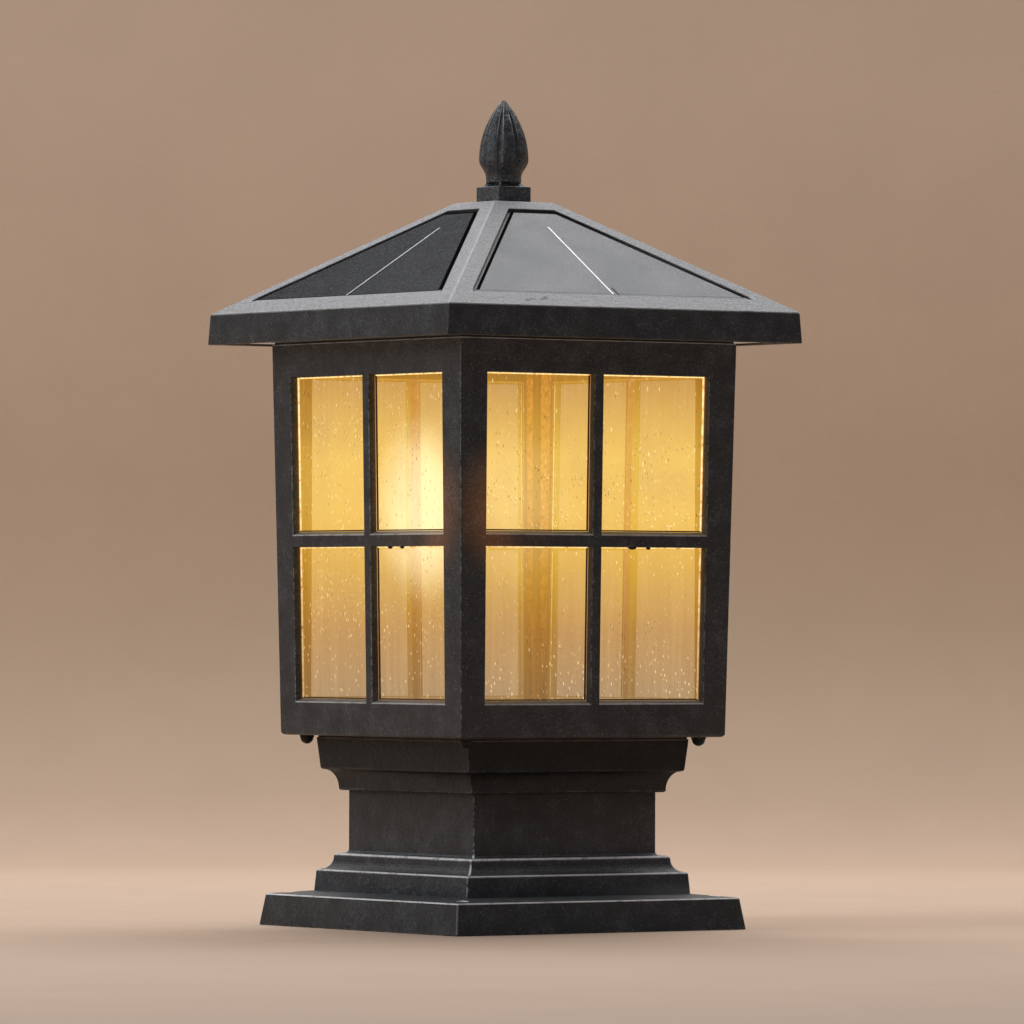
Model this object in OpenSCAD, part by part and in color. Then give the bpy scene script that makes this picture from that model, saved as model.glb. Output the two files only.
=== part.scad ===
// Pillar lantern: a square cast lantern with glazed sides, a hipped roof that carries four
// solar panels, and a moulded pedestal that bolts to the top of a garden or gate pillar.
// Millimetres, +Z up. The origin is the centre of the pedestal's foot.

/* [Pedestal] */
// Width of the base plate at its foot
plate_w = 250; // [236:1:290]
// How far the plate's edge leans in, each side
plate_draft = 3.4; // [1:0.1:5]
// Height of the base plate's edge
plate_h = 22.5; // [16:0.5:30]
// Rise of the plate's top from its edge to the step
plate_fall = 2.5; // [1:0.5:4]
// How far the plate reaches past the step, each side
plate_reach = 28.3; // [24:0.1:40]
// Height of the step
step_h = 15.4; // [10:0.1:22]
// How far the step reaches past the column, each side
step_reach = 17.9; // [15:0.1:24]
// Height of the plinth moulding between step and column
plinth_h = 14.6; // [12:0.1:20]
// Height of the plain column
column_h = 42; // [20:1:90]
// Height of the cove that carries the neck
corbel_h = 15; // [12:0.1:24]
// How far the neck reaches past the column, each side
neck_reach = 16.9; // [13:0.1:20]
// Height of the neck's plain face
neck_h = 23; // [14:1:40]
// Wall of the pedestal casting
cast_wall = 4.5; // [3:0.5:6]
// Thickness of the deck that closes the neck
deck_t = 6; // [4:0.5:8]
// Width of the rim that stands on the pillar
foot_rim = 7; // [5:0.5:8]
// Distance of the anchor holes from the plate's edge
anchor_inset = 16; // [14:0.5:18]
// Diameter of the anchor holes
anchor_d = 7; // [6:0.5:9]

/* [Cage] */
// How much wider the cage is at its top
cage_flare = 10.4; // [4:0.2:14]
// Height of the cage
cage_h = 279.6; // [220:0.2:340]
// Wall of the cage casting
cage_wall = 6; // [5:0.5:7]
// Edge rounding at the cage's foot
cage_round = 2.5; // [1:0.5:4]
// Thickness of the flanges at the cage's foot and top
flange_t = 5; // [4:0.5:7]
// Distance of the neck bolts from the edge of the opening in the foot flange
foot_flange_edge = 11; // [9:0.5:18]
// Distance of the tie rods from the edge of the opening in the top flange
top_flange_edge = 18.4; // [14:0.2:28]
// Height of the rail under the windows
sill_h = 24; // [20:1:34]
// Height of the rail over the windows
head_h = 24; // [22:0.5:34]
// Width of the corner posts beside the sill
post_low_w = 20.1; // [19:0.1:26]
// Width of the corner posts beside the head
post_top_w = 23.7; // [22:0.1:30]
// Width of the upright glazing bar
mullion_w = 8; // [5:0.5:12]
// Height of the cross glazing bar at its face
transom_h = 8.7; // [5:0.1:12]
// Rise of the sloped ledges towards the glass
ledge_fall = 2.4; // [1:0.2:3]

/* [Glazing] */
// Glass thickness
pane_t = 3; // [2:0.5:4]
// Gap between a pane's end and the back of the next pane
pane_corner_gap = 5.1; // [4.5:0.1:6]
// Thickness of the seal in front of the glass
seal_t = 1; // [0.5:0.1:1.5]
// How far the seal stands back from the window's edge
seal_setback = 1.5; // [1:0.1:2]
// Sheet thickness of the glazing strips
strip_t = 1.5; // [1:0.1:2]
// Leg of the glazing strips
strip_leg = 11; // [9:1:13]
// Length of the glazing strips
strip_length = 150; // [120:5:170]
// Spacing of the two screws in a strip
strip_screw_spacing = 110; // [80:5:120]

/* [Fasteners] */
// Gap between the tie rods and the back of the glass
rod_gap = 0.7; // [0.5:0.1:1.5]
// How far outside the neck's faces the tie rods stand
rod_outset = 4.7; // [4.5:0.1:8]
// Diameter of the tie rods
rod_d = 6; // [5:0.5:7]
// Width across flats of the tie rod and neck nuts
nut_af = 10; // [9:0.5:10.5]
// Height of the hexagon nuts
nut_h = 5; // [4:0.5:6]
// Height of the dome nuts
dome_h = 6.5; // [5:0.5:9]
// Washer thickness
washer_t = 1.5; // [1:0.1:2]
// Distance of the neck bolts from the inside of the column
neck_bolt_inset = 10.3; // [9:0.1:12]
// Bolt head height
bolt_head_h = 4; // [3:0.5:5]
// Gasket thickness
gasket_t = 1.5; // [1:0.1:2]
// Small screw diameter, for the strips and inside the roof
small_d = 3; // [2.5:0.1:3.5]
// Small screw head diameter
small_head_d = 5.6; // [5:0.1:6.5]
// Small screw head height
small_head_h = 2; // [1.5:0.1:2.5]

/* [Roof] */
// How far the eave reaches past the cage's top, each side
eave_reach = 33.4; // [30:0.1:42]
// How far the eave leans in, each side
eave_draft = 1.3; // [0.5:0.1:3]
// Height of the eave
eave_h = 22; // [18:0.5:30]
// Width of the flat at the roof's top
crown_w = 51; // [48:1:60]
// Rise of the roof slopes
roof_rise = 79; // [60:1:110]
// Wall of the eave
eave_wall = 4; // [3:0.5:5]
// Wall of the slopes
slope_wall = 5; // [4.5:0.5:7]
// Distance of the roof screws from the eave's edge
roof_screw_inset = 18.7; // [17:0.1:21]
// Diameter of the roof screws
roof_screw_d = 5; // [4:0.5:6]
// Thickness of the roof pan
pan_t = 2; // [1.5:0.1:3]
// How far the pan stands up inside the eave
pan_setback = 1.5; // [1.5:0.1:3]
// Height of the roof screws' low heads
roof_head_h = 1.4; // [1:0.1:1.4]
// Height of the pan's rim
pan_rim_h = 8; // [5:0.5:10]

/* [Solar panels] */
// Border between the eave edge and the panel recess, along the slope
border_low = 17.5; // [14:0.5:24]
// Border between the crown and the panel recess, along the slope
border_top = 11.4; // [8:0.1:16]
// Border between the hips and the panel recess, along the eave
border_hip = 15.8; // [13:0.1:22]
// Depth of the panel recess
recess_d = 3; // [2.5:0.1:3.2]
// Panel thickness
panel_t = 1.6; // [1:0.1:1.8]
// Gap round the panel at its top and sides
panel_gap = 2.2; // [1.5:0.1:3]
// Gap under the panel's lower edge
panel_low_gap = 0.3; // [0.2:0.1:1]
// Thickness of the foam pads under the panels
pad_t = 0.8; // [0.4:0.1:1]
// Width of the foam pads
pad_w = 8; // [5:0.5:12]
// Width of the silver ribbon on each panel
ribbon_w = 1.3; // [0.8:0.1:2.5]
// Thickness of the silver ribbon
ribbon_t = 0.2; // [0.1:0.05:0.3]
// Length of the silver ribbon
ribbon_length = 94; // [60:1:105]

/* [Finial] */
// Width of the square block
block_w = 28; // [25:0.5:34]
// Height of the square block
block_h = 11.4; // [8:0.1:16]
// Height of the cove over the block
cove_h = 5.4; // [4:0.1:8]
// Radius of the bud's waist
waist_r = 12.6; // [11:0.1:13]
// Greatest radius of the bud
bud_r = 17.8; // [15:0.1:22]
// Height from the block to the bud's tip
bud_h = 62.8; // [50:0.1:80]
// Depth of the grooves between the bud's lobes
groove_d = 1.8; // [0.5:0.1:2.5]
// Diameter of the finial's bolt
finial_bolt_d = 8; // [6:0.5:9]
// Thread depth in the finial
finial_thread = 20; // [15:1:24]

/* [Lamp] */
// Radius of the round light board
board_r = 44; // [38:1:48]
// Thickness of the circuit boards
board_t = 1.6; // [1:0.1:2]
// Number of light chips
chip_count = 12; // [6:1:18]
// Radius of the ring of light chips
chip_ring_r = 30; // [24:1:34]
// Outer radius of the opal cover
cover_r = 56; // [52:1:60]
// Depth of the opal cover
cover_h = 17; // [12:1:17]
// Wall of the opal cover
cover_wall = 2; // [1.5:0.1:3]
// Width of the opal cover's flange
cover_flange = 8; // [7.5:0.5:10]

/* [Electronics] */
// Battery cell diameter
cell_d = 18.2; // [14:0.1:18.6]
// Battery cell length
cell_length = 65; // [48:1:66]
// Distance of the battery tray from the centre
tray_place = 50; // [46:1:56]
// Length of the controller board
control_length = 76; // [60:1:90]
// Width of the controller board
control_w = 46; // [40:1:50]
// Distance of the controller board from the centre
control_place = 50; // [46:1:56]
// Height of the board spacers
spacer_h = 6; // [4:0.5:9]

/* [Switch] */
// Distance of the switch from the eave's edge
switch_inset = 18.7; // [17.7:0.1:20.5]
// Outer radius of the switch body
switch_r = 6; // [5.6:0.1:7]
// Length of the spring while the button is pressed
spring_packed = 5.7; // [4.5:0.1:6.5]
// Radius of the button
button_r = 4; // [3:0.1:4.2]
// Travel of the button
button_travel = 2; // [1:0.1:3]
// How far the pressed button stands out of its neck
button_show = 0.5; // [0.3:0.1:1.5]

/* [Hidden] */
$fn = 48;
cut = 1;             // how far a cut runs past the face that it opens
thread_gap = 0.05;   // radial gap between a screw and its thread
clearance_gap = 0.3; // radial gap between a bolt and its plain hole
sliding_gap = 0.3;   // gap round the moving button
seat_gap = 0.05;     // gap at a seat that is otherwise face to face
pane_end_gap = 0.5;  // gap at each end of a pane
thread_past = 1.5;   // thread that stands past a nut
washer_rim = 1;      // how far a washer reaches past its nut's flats
washer_r = nut_af / 2 + washer_rim;
sides = [0, 1, 2, 3];
corners = [[1, 1], [-1, 1], [-1, -1], [1, -1]];

plate_half = plate_w / 2;
step_half = plate_half - plate_reach;
column_half = step_half - step_reach;
neck_half = column_half + neck_reach;
rod_place = neck_half + rod_outset;
glazing_t = seal_t + pane_t;
cage_half = rod_place + rod_d / 2 + rod_gap + glazing_t + cage_wall;
cage_top_half = cage_half + cage_flare / 2;
pane_half = cage_half - cage_wall - glazing_t - pane_corner_gap;
window_low_half = cage_half - post_low_w;
window_top_half = cage_top_half - post_top_w;
eave_half = cage_top_half + eave_reach;
anchor_place = plate_half - anchor_inset;
neck_bolt_place = column_half - cast_wall - neck_bolt_inset;
foot_opening_half = neck_bolt_place - foot_flange_edge;
top_opening_half = rod_place - top_flange_edge;
roof_screw_place = eave_half - roof_screw_inset;
switch_place = eave_half - switch_inset;
eave_top_half = eave_half - eave_draft;
crown_half = crown_w / 2;

step_z = plate_h + plate_fall;
plinth_z = step_z + step_h;
column_z = plinth_z + plinth_h;
corbel_z = column_z + column_h;
neck_z = corbel_z + corbel_h;
deck_z = neck_z + neck_h;
cage_z = deck_z + gasket_t;
cage_top_z = cage_z + cage_h;
pan_z = cage_top_z + gasket_t;
pan_top_z = pan_z + pan_t;
eave_z = pan_z - pan_setback;
eave_top_z = eave_z + eave_h;
crown_z = eave_top_z + roof_rise;
block_top_z = crown_z + block_h;

// Half width of the cage's outer face at a height
function cage_face(z) = cage_half + (cage_top_half - cage_half) * (z - cage_z) / cage_h;

slope_angle = atan(roof_rise / (eave_top_half - crown_half));
slope_length = roof_rise / sin(slope_angle);
slope_drop = slope_wall / cos(slope_angle);
// Height of the roof's inner face at a distance from the centre
function roof_inside(half) =
    crown_z - slope_drop - max(0, half - crown_half) * tan(slope_angle);

window_low_z = cage_z + sill_h;
window_top_z = cage_top_z - head_h;
transom_z = (window_low_z + window_top_z - transom_h - ledge_fall) / 2;

// Points on an elliptical arc, for a moulding's outline
function arc(x, z, rx, rz, from, to, steps = 6) =
    [for (i = [0:steps]) let (a = from + (to - from) * i / steps) [x + rx * cos(a), z + rz * sin(a)]];

// A closed outline from one that runs up its right-hand side
function both_sides(right) =
    concat(right, [for (i = [len(right) - 1:-1:0]) [-right[i].x, right[i].y]]);

// A square moulding with true mitres: the same outline run along Y and along X
module mitred(right) {
    reach = 2 * max([for (p = right) p.x]) + 2 * cut;
    intersection() {
        rotate([90, 0, 0]) linear_extrude(reach, center = true) polygon(both_sides(right));
        rotate([90, 0, 90]) linear_extrude(reach, center = true) polygon(both_sides(right));
    }
}

module square_block(half, low, high) {
    translate([-half, -half, low]) cube([2 * half, 2 * half, high - low]);
}

module at_corners(place) {
    for (c = corners) translate([c.x * place, c.y * place, 0]) children();
}

module on_each_side() {
    for (side = sides) rotate([0, 0, 90 * side]) children();
}

// Shapes drawn with X along the eave, Y up the slope and Z out of it
module on_slope() {
    translate([0, -eave_top_half, eave_top_z]) rotate([slope_angle, 0, 0]) children();
}

module pipe(r_out, r_in, low, high) {
    translate([0, 0, low]) difference() {
        cylinder(r = r_out, h = high - low);
        translate([0, 0, -cut]) cylinder(r = r_in, h = high - low + 2 * cut);
    }
}

module rod(r, low, high) {
    translate([0, 0, low]) cylinder(r = r, h = high - low);
}

module hexagon(across_flats, low, high) {
    translate([0, 0, low]) cylinder(d = across_flats / cos(30), h = high - low, $fn = 6);
}

// Pedestal casting

nose_r = 2;
cove_r = 3;
nose_reach = 7.7;
nose_half = column_half + nose_reach;
edge_r = 1.5;
step_draft = 1.1;
step_top_half = step_half - step_draft;
cavetto_low_half = step_top_half - edge_r;
cavetto_rise = plinth_h - cove_r - nose_r;
corbel_nose_r = 1.5;
corbel_foot_reach = 5.3;
corbel_foot_half = column_half + corbel_foot_reach;
neck_draft = 2.1;
corbel_top_half = neck_half - neck_draft - edge_r;

pedestal_outline = concat(
    [[plate_half, 0], [plate_half - plate_draft, plate_h], [step_half, step_z]],
    arc(step_top_half - edge_r, plinth_z - edge_r, edge_r, edge_r, 0, 75, 3),
    arc(cavetto_low_half, plinth_z + cavetto_rise, cavetto_low_half - nose_half, cavetto_rise,
        265, 180, 7),
    arc(nose_half - nose_r, column_z - cove_r - nose_r, nose_r, nose_r, 0, 90, 4),
    arc(column_half + cove_r, column_z, cove_r, cove_r, 270, 180, 4),
    [[column_half, corbel_z]],
    arc(corbel_foot_half - corbel_nose_r, corbel_z + corbel_nose_r, corbel_nose_r, corbel_nose_r,
        270, 360, 4),
    arc(corbel_top_half, corbel_z + corbel_nose_r, corbel_top_half - corbel_foot_half,
        corbel_h - corbel_nose_r, 175, 95, 7),
    arc(neck_half - neck_draft - edge_r, neck_z + edge_r, edge_r, edge_r, 285, 360, 3),
    [[neck_half, deck_z]]
);

core_draft = 1;
core_step = 2;
hollow_outline = [
    [plate_half - foot_rim, -cut],
    [plate_half - foot_rim - core_draft, plate_h - cast_wall],
    [step_half - cast_wall, step_z - cast_wall],
    [step_top_half - cast_wall, plinth_z - cast_wall],
    [column_half - cast_wall, plinth_z + cavetto_rise - cast_wall],
    [column_half - cast_wall, corbel_z + core_step],
    [neck_half - neck_draft - cast_wall, neck_z + cast_wall],
    [neck_half - neck_draft - cast_wall, deck_z - deck_t]
];

anchor_boss_r = 10;

module pedestal() {
    color("#252527") difference() {
        mitred(pedestal_outline);
        difference() {
            mitred(hollow_outline);
            at_corners(anchor_place) rod(anchor_boss_r, -2 * cut, step_z);
        }
        at_corners(anchor_place) rod(anchor_d / 2, -cut, step_z + cut);
        at_corners(neck_bolt_place) rod(rod_d / 2 + clearance_gap, deck_z - deck_t - cut, deck_z + cut);
    }
}

module neck_gasket() {
    inset = 1.2;
    color("#161616") difference() {
        square_block(neck_half - inset, deck_z, cage_z);
        square_block(foot_opening_half, deck_z - cut, cage_z + cut);
        at_corners(neck_bolt_place) rod(rod_d / 2 + clearance_gap, deck_z - cut, cage_z + cut);
    }
}

module neck_bolts() {
    head_z = cage_z + flange_t;
    color("silver") at_corners(neck_bolt_place) {
        hexagon(nut_af, head_z, head_z + bolt_head_h);
        rod(rod_d / 2 - thread_gap, deck_z - deck_t - washer_t - nut_h - thread_past, head_z);
    }
}

module neck_washers() {
    color("silver") at_corners(neck_bolt_place)
        pipe(washer_r, rod_d / 2 + thread_gap, deck_z - deck_t - washer_t, deck_z - deck_t);
}

module neck_nuts() {
    top = deck_z - deck_t - washer_t;
    color("silver") at_corners(neck_bolt_place) difference() {
        hexagon(nut_af, top - nut_h, top);
        rod(rod_d / 2, top - nut_h - cut, top + cut);
    }
}

// Cage casting

cage_outline = concat(
    arc(cage_half - cage_round, cage_z + cage_round, cage_round, cage_round, 270, 360, 4),
    [[cage_top_half, cage_top_z]]
);

cage_hollow_outline = [
    [cage_face(cage_z + flange_t) - cage_wall, cage_z + flange_t],
    [cage_face(cage_top_z - flange_t) - cage_wall, cage_top_z - flange_t]
];

function window_half(z) = let (share = (z - window_low_z) / (window_top_z - window_low_z))
    window_low_half + (window_top_half - window_low_half) * share;

// One light of a window on the side that faces -Y, cut with a sloped ledge at its foot
module window_light(low, high) {
    face = cage_face(low);
    rise = ledge_fall / cage_wall;
    reach = 8;
    intersection() {
        rotate([90, 0, 0]) linear_extrude(2 * cage_top_half) polygon([
            [mullion_w / 2, low - reach], [window_half(low - reach), low - reach],
            [window_half(high), high], [mullion_w / 2, high]
        ]);
        rotate([90, 0, 90]) linear_extrude(cage_top_half) polygon([
            [-face - reach, low - rise * reach],
            [cage_wall + reach - face, low + rise * (cage_wall + reach)],
            [cage_wall + reach - face, high],
            [-face - reach, high]
        ]);
    }
}

module cage_frame() {
    color("#252527") difference() {
        mitred(cage_outline);
        mitred(cage_hollow_outline);
        square_block(foot_opening_half, cage_z - cut, cage_z + flange_t + cut);
        square_block(top_opening_half, cage_top_z - flange_t - cut, cage_top_z + cut);
        on_each_side() for (hand = [0, 1]) mirror([hand, 0, 0]) {
            window_light(window_low_z, transom_z);
            window_light(transom_z + transom_h, window_top_z);
        }
        at_corners(rod_place) {
            rod(rod_d / 2 + clearance_gap, cage_z - cut, cage_z + flange_t + cut);
            rod(rod_d / 2 + clearance_gap, cage_top_z - flange_t - cut, cage_top_z + cut);
        }
        at_corners(neck_bolt_place)
            rod(rod_d / 2 + clearance_gap, cage_z - cut, cage_z + flange_t + cut);
        on_each_side() for (end = [-1, 1]) {
            translate([end * strip_screw_spacing / 2, 0, 0]) {
                translate([0, -low_screw_y, 0])
                    rod(small_d / 2, strip_low_z - strip_screw_depth, strip_low_z + cut);
                translate([0, -top_screw_y, 0])
                    rod(small_d / 2, strip_top_z - cut, strip_top_z + strip_screw_depth);
            }
        }
    }
}

// Glazing, drawn on the side that faces -Y

// Distance from the centre to the back of the seal and to the back of the glass
function seal_back(z) = cage_face(z) - cage_wall - seal_t;
function glass_back(z) = seal_back(z) - pane_t;

pane_low_z = cage_z + flange_t + pane_end_gap;
pane_top_z = cage_top_z - flange_t - pane_end_gap;

// A flat piece that leans with the cage's wall
module leaning(front_low, front_top, back_low, back_top, low, high, width) {
    rotate([90, 0, 90]) linear_extrude(width, center = true)
        polygon([[-front_low, low], [-back_low, low], [-back_top, high], [-front_top, high]]);
}

module pane(side) {
    color("#d9a441", 0.5) rotate([0, 0, 90 * side]) leaning(
        seal_back(pane_low_z), seal_back(pane_top_z), glass_back(pane_low_z), glass_back(pane_top_z),
        pane_low_z, pane_top_z, 2 * pane_half
    );
}

module pane_front() pane(0);
module pane_right() pane(1);
module pane_back() pane(2);
module pane_left() pane(3);

module pane_seals() {
    color("#1a1a1a") on_each_side() difference() {
        leaning(
            seal_back(pane_low_z) + seal_t, seal_back(pane_top_z) + seal_t,
            seal_back(pane_low_z), seal_back(pane_top_z), pane_low_z, pane_top_z, 2 * pane_half
        );
        rotate([90, 0, 0]) linear_extrude(2 * cage_top_half) polygon([
            [-window_low_half - seal_setback, window_low_z - seal_setback],
            [window_low_half + seal_setback, window_low_z - seal_setback],
            [window_top_half + seal_setback, window_top_z + seal_setback],
            [-window_top_half - seal_setback, window_top_z + seal_setback]
        ]);
    }
}

strip_low_z = cage_z + flange_t;
strip_top_z = cage_top_z - flange_t;
strip_screw_depth = 3.5;
strip_edge = 4.4;    // from a screw to the free edge of the strip's leg
low_screw_y = glass_back(strip_low_z) - strip_leg + strip_edge;
top_screw_y = glass_back(strip_top_z) - strip_leg + strip_edge;

// An angle strip: one leg against the glass, the other on a flange
module angle_strip(flange_z, up) {
    leg_z = flange_z + up * strip_leg;
    bend_z = flange_z + up * strip_t;
    difference() {
        rotate([90, 0, 90]) linear_extrude(strip_length, center = true) polygon([
            [seat_gap - glass_back(flange_z), flange_z],
            [strip_leg - glass_back(flange_z), flange_z],
            [strip_leg - glass_back(flange_z), bend_z],
            [seat_gap + strip_t - glass_back(bend_z), bend_z],
            [seat_gap + strip_t - glass_back(leg_z), leg_z],
            [seat_gap - glass_back(leg_z), leg_z]
        ]);
        for (end = [-1, 1])
            translate([end * strip_screw_spacing / 2, strip_leg - strip_edge - glass_back(flange_z), 0])
                rod(small_d / 2 + thread_gap, flange_z - strip_t - cut, flange_z + strip_t + cut);
    }
}

module glazing_strips_low() {
    color("silver") on_each_side() angle_strip(strip_low_z, 1);
}

module glazing_strips_top() {
    color("silver") on_each_side() angle_strip(strip_top_z, -1);
}

// A pan head screw with its seat at a height and its head on the given side
module small_screw(seat_z, up, grip) {
    head_z = seat_z + up * small_head_h;
    end_z = seat_z - up * grip;
    rod(small_head_d / 2, min(seat_z, head_z), max(seat_z, head_z));
    rod(small_d / 2 - thread_gap, min(seat_z, end_z), max(seat_z, end_z));
}

module strip_screws() {
    grip = strip_t + strip_screw_depth - seat_gap;
    color("gray") on_each_side() for (end = [-1, 1]) translate([end * strip_screw_spacing / 2, 0, 0]) {
        translate([0, -low_screw_y, 0]) small_screw(strip_low_z + strip_t, 1, grip);
        translate([0, -top_screw_y, 0]) small_screw(strip_top_z - strip_t, -1, grip);
    }
}

// Tie rods that clamp the roof pan, the cage and its flanges together

dome_cap = 1.6;
dome_thread = dome_h - dome_cap;
rod_top_z = pan_top_z + washer_t + nut_h + thread_past;

module tie_rods() {
    color("silver") at_corners(rod_place)
        rod(rod_d / 2 - thread_gap, cage_z - dome_thread + seat_gap, rod_top_z);
}

module rod_washers() {
    color("silver") at_corners(rod_place)
        pipe(washer_r, rod_d / 2 + thread_gap, pan_top_z, pan_top_z + washer_t);
}

module rod_nuts() {
    low = pan_top_z + washer_t;
    color("silver") at_corners(rod_place) difference() {
        hexagon(nut_af, low, low + nut_h);
        rod(rod_d / 2, low - cut, low + nut_h + cut);
    }
}

module dome_nuts() {
    skirt = 1.6;
    dome_inset = 0.2;
    dome_r = nut_af / 2 - dome_inset;
    rise = dome_h - skirt;
    color("#252527") at_corners(rod_place) difference() {
        union() {
            hexagon(nut_af, cage_z - skirt, cage_z);
            translate([0, 0, cage_z]) rotate_extrude() polygon(concat(
                [[0, -skirt / 2]], [[dome_r, -skirt / 2]],
                arc(0, -skirt, dome_r, rise, 0, -90, 8)
            ));
        }
        rod(rod_d / 2, cage_z - dome_thread, cage_z + cut);
    }
}

// Roof pan and its gasket

module eave_gasket() {
    inset = 1.5;
    color("#161616") difference() {
        square_block(cage_top_half - inset, cage_top_z, pan_z);
        square_block(top_opening_half + inset, cage_top_z - cut, pan_z + cut);
        at_corners(rod_place) rod(rod_d / 2 + clearance_gap, cage_top_z - cut, pan_z + cut);
    }
}

pan_edge_gap = 1.2;
pan_half = eave_top_half - eave_wall - pan_edge_gap;
led_lead_r = 4;
grommet_wall = 1.5;
module pan_hole(x, y, r) {
    translate([x, y, 0]) rod(r, pan_z - cut, pan_top_z + cut);
}

module roof_pan() {
    color("#8d8f90") difference() {
        square_block(pan_half, pan_z, pan_top_z + pan_rim_h);
        square_block(pan_half - pan_t, pan_top_z, pan_top_z + pan_rim_h + cut);
        for (c = corners) {
            pan_hole(c.x * rod_place, c.y * rod_place, rod_d / 2 + clearance_gap);
            pan_hole(c.x * roof_screw_place, c.y * roof_screw_place, roof_screw_d / 2 + clearance_gap);
        }
        pan_hole(0, switch_place, switch_r + seat_gap);
        pan_hole(0, 0, led_lead_r + grommet_wall);
        for (p = concat(board_screw_places, cover_screw_places, tray_screw_places, spacer_places))
            pan_hole(p.x, p.y, small_d / 2);
    }
}

module grommet() {
    lip = 1.2;
    color("#161616") translate([0, 0, pan_top_z]) rotate_extrude() polygon([
        [led_lead_r, -pan_t], [led_lead_r + grommet_wall - seat_gap, -pan_t],
        [led_lead_r + grommet_wall - seat_gap, 0], [led_lead_r + grommet_wall + lip, 0],
        [led_lead_r + grommet_wall + lip, lip], [led_lead_r, lip]
    ]);
}

// Roof casting

roof_outline = [
    [eave_half, eave_z], [eave_top_half, eave_top_z], [crown_half, crown_z]
];

roof_hollow_outline = [
    [eave_half - eave_wall, eave_z - cut],
    [eave_top_half - eave_wall, roof_inside(eave_top_half - eave_wall)],
    [crown_half, crown_z - slope_drop]
];

recess_low = border_low;
recess_top = slope_length - border_top;
// Half width of the panel recess at a distance up the slope
function recess_half(v) = eave_top_half - v * cos(slope_angle) - border_hip;

// The panel recess, drawn in from its edges
module recess_shape(low_inset, side_inset, top_inset) {
    low = recess_low + low_inset;
    top = recess_top - top_inset;
    polygon([
        [-recess_half(low) + side_inset, low], [recess_half(low) - side_inset, low],
        [recess_half(top) - side_inset, top], [-recess_half(top) + side_inset, top]
    ]);
}

boss_wall = 3.5;
boss_r = roof_screw_d / 2 + boss_wall;
roof_screw_depth = 14;
wire_hole_r = 3;
wire_hole_up = 80;

module roof_shell() {
    color("#2b2b2d") difference() {
        mitred(roof_outline);
        difference() {
            mitred(roof_hollow_outline);
            at_corners(roof_screw_place)
                rod(boss_r, pan_top_z, roof_inside(roof_screw_place - boss_r) + cut);
        }
        at_corners(roof_screw_place)
            rod(roof_screw_d / 2, pan_top_z - cut, pan_top_z + roof_screw_depth);
        on_each_side() on_slope() {
            translate([0, 0, -recess_d]) linear_extrude(recess_d + cut) recess_shape(0, 0, 0);
            translate([0, wire_hole_up, -slope_wall - cut]) cylinder(r = wire_hole_r, h = slope_wall + cut);
        }
        rod(finial_bolt_d / 2 + clearance_gap, crown_z - slope_drop - cut, crown_z + cut);
    }
}

module roof_screws() {
    head_rim = 2;
    color("#252527") at_corners(roof_screw_place) {
        rod(roof_screw_d / 2 + head_rim, pan_z - roof_head_h, pan_z);
        rod(roof_screw_d / 2 - thread_gap, pan_z, pan_top_z + roof_screw_depth - seat_gap);
    }
}

// Solar panels in the roof's recesses

module panel(side) {
    color("#33343a") rotate([0, 0, 90 * side]) on_slope() translate([0, 0, pad_t - recess_d])
        linear_extrude(panel_t) recess_shape(panel_low_gap, panel_gap, panel_gap);
}

module panel_front() panel(0);
module panel_right() panel(1);
module panel_back() panel(2);
module panel_left() panel(3);

module panel_pads() {
    margin = 1;
    edge = panel_gap + margin;
    side_lean = sqrt(1 + pow(cos(slope_angle), 2));
    color("#161616") on_each_side() on_slope() translate([0, 0, -recess_d]) linear_extrude(pad_t)
        difference() {
            recess_shape(edge, edge, edge);
            recess_shape(edge + pad_w, edge + pad_w * side_lean, edge + pad_w);
        }
}

module panel_ribbons() {
    margin = 1.5;
    start = recess_low + panel_low_gap + margin;
    color("silver") on_each_side() on_slope()
        translate([-ribbon_w / 2, start, pad_t + panel_t - recess_d])
            cube([ribbon_w, ribbon_length, ribbon_t]);
}

// Finial

lobes = 8;
lobe_steps = 6;
bud_sink = 2.4;
waist_up = 2;
shoulder_up = 12;
bud_low_z = block_top_z + cove_h - bud_sink;
waist_z = block_top_z + cove_h + waist_up;
shoulder_z = waist_z + shoulder_up;
tip_z = block_top_z + bud_h;
waist_rings = 7;
bud_rings = 18;
tip_power = 0.9;
bud_taper = 0.985;
waist_start = 0.04;
groove_up = 4;
groove_run = 7;
groove_keep = 0.6;

// Smooth step from 0 to 1
function smooth(t) = let (u = min(1, max(0, t))) u * u * (3 - 2 * u);
// The bud's radius at a height
function bud_profile(z) = z < shoulder_z
    ? waist_r + (bud_r - waist_r) * smooth(waist_start + (z - waist_z) / (shoulder_z - waist_z))
    : bud_r * pow(1 - pow((z - shoulder_z) / (tip_z - shoulder_z), 2), tip_power);
// The groove's depth at a height: none at the waist, full on the body, fading to the tip
function groove_at(z) =
    groove_d * smooth((z - waist_z - groove_up) / groove_run)
    * min(1, bud_profile(z) / (bud_r * groove_keep));
// How much of the groove a point takes, from 0 on a lobe's crest to 1 between two lobes
function lobe_share(i) = pow(abs(2 * (i % lobe_steps) / lobe_steps - 1), 4);
bud_levels = concat(
    [for (i = [0:waist_rings]) bud_low_z + (shoulder_z - bud_low_z) * i / waist_rings],
    [for (i = [1:bud_rings]) shoulder_z + (tip_z - shoulder_z) * bud_taper * sin(90 * i / bud_rings)]
);
bud_around = lobes * lobe_steps;

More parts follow.
